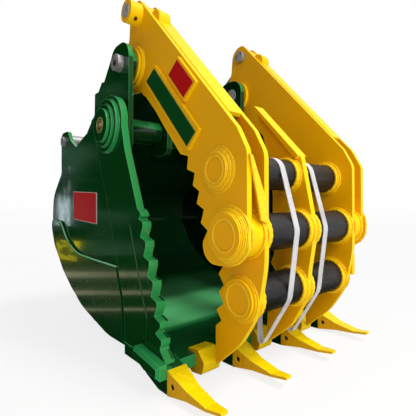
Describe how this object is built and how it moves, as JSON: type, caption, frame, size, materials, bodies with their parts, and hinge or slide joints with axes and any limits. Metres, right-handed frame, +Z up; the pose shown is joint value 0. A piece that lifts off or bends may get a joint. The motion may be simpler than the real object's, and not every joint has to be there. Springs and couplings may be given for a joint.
{
  "type": "claw bucket",
  "caption": "Excavator claw bucket: an earth bucket with teeth and a hinged grapple claw that hydraulic rams close over its mouth.",
  "frame": {"origin": "on the arm pin's axis, midway between the hitch ears", "axes": "+X to the bucket's right seen from behind it, along the pins; -Y out of the mouth, where the teeth point; +Z up as it stands on its teeth and heel"},
  "size_m": [1.168, 1.75, 1.717],
  "materials": {
    "green_paint": "gloss",
    "yellow_paint": "gloss",
    "yellow_cast": "gloss, worn at the tips",
    "black_tube": "satin, scuffed",
    "pin_steel": "turned",
    "rod_chrome": "polished",
    "ram_black": "satin",
    "strap_web": "woven"
  },
  "bodies": {
    "bucket": {"bucket_shell": "green_paint", "left_cheek_wear_plate": "green_paint", "left_claw_pivot_pin": "pin_steel", "left_corner_shroud": "green_paint", "left_heel_runner": "green_paint", "left_hitch_ear": "green_paint", "left_inner_ear": "green_paint", "left_outer_ear": "green_paint", "left_ram_lug": "green_paint", "left_ram_pin": "pin_steel", "left_serrated_cutter": "green_paint", "left_side_bar": "green_paint", "left_side_plate": "green_paint", "left_tube_cap": "green_paint", "lip_plate": "green_paint", "lip_shroud_left": "yellow_cast", "lip_shroud_middle": "yellow_cast", "lip_shroud_right": "yellow_cast", "right_cheek_wear_plate": "green_paint", "right_claw_pivot_pin": "pin_steel", "right_corner_shroud": "green_paint", "right_heel_runner": "green_paint", "right_hitch_ear": "green_paint", "right_inner_ear": "green_paint", "right_outer_ear": "green_paint", "right_ram_lug": "green_paint", "right_ram_pin": "pin_steel", "right_serrated_cutter": "green_paint", "right_side_bar": "green_paint", "right_side_plate": "green_paint", "right_tube_cap": "green_paint", "tooth_adapter_left_inner": "green_paint", "tooth_adapter_left_outer": "green_paint", "tooth_adapter_right_inner": "green_paint", "tooth_adapter_right_outer": "green_paint", "tooth_left_inner": "yellow_cast", "tooth_left_outer": "yellow_cast", "tooth_right_inner": "yellow_cast", "tooth_right_outer": "yellow_cast", "torque_tube": "green_paint"},
    "claw": {"left_arm_cover": "yellow_paint", "left_front_brace": "yellow_paint", "left_inner_arm_plate": "yellow_paint", "left_lashing_strap": "strap_web", "left_outer_arm_plate": "yellow_paint", "left_rod_pin": "pin_steel", "lower_cross_tube": "black_tube", "middle_cross_tube": "black_tube", "middle_tine": "yellow_paint", "right_arm_cover": "yellow_paint", "right_inner_arm_plate": "yellow_paint", "right_lashing_strap": "strap_web", "right_outer_arm_plate": "yellow_paint", "right_rod_pin": "pin_steel", "upper_cross_tube": "black_tube"},
    "left_barrel": {"left_ram_barrel": "ram_black"},
    "left_rod": {"left_ram_rod": "rod_chrome"},
    "right_barrel": {"right_ram_barrel": "ram_black"},
    "right_rod": {"right_ram_rod": "rod_chrome"}
  },
  "joints": [
    {"name": "claw_hinge", "type": "hinge", "parent": "bucket", "child": "claw", "pos_m": [0, -0.425, 0.215], "axis": [-1, 0, 0], "range_deg": [0, 60]},
    {"name": "left_ram_swing", "type": "hinge", "parent": "bucket", "child": "left_barrel", "pos_m": [-0.359, 0.285, -0.075], "axis": [-1, 0, 0], "range_deg": [0, 7]},
    {"name": "left_ram_slide", "type": "slide", "parent": "left_barrel", "child": "left_rod", "axis": [0, -0.8115, 0.5844], "range_m": [-0.24, 0]},
    {"name": "right_ram_swing", "type": "hinge", "parent": "bucket", "child": "right_barrel", "pos_m": [0.359, 0.285, -0.075], "axis": [-1, 0, 0], "range_deg": [0, 7]},
    {"name": "right_ram_slide", "type": "slide", "parent": "right_barrel", "child": "right_rod", "axis": [0, -0.8115, 0.5844], "range_m": [-0.24, 0]}
  ],
  "couplings": [
    {"joint": "left_ram_swing", "follows": "claw_hinge", "ratio": 0.11},
    {"joint": "left_ram_slide", "follows": "claw_hinge", "m_per_rad": -0.225},
    {"joint": "right_ram_swing", "follows": "claw_hinge", "ratio": 0.11},
    {"joint": "right_ram_slide", "follows": "claw_hinge", "m_per_rad": -0.225}
  ]
}
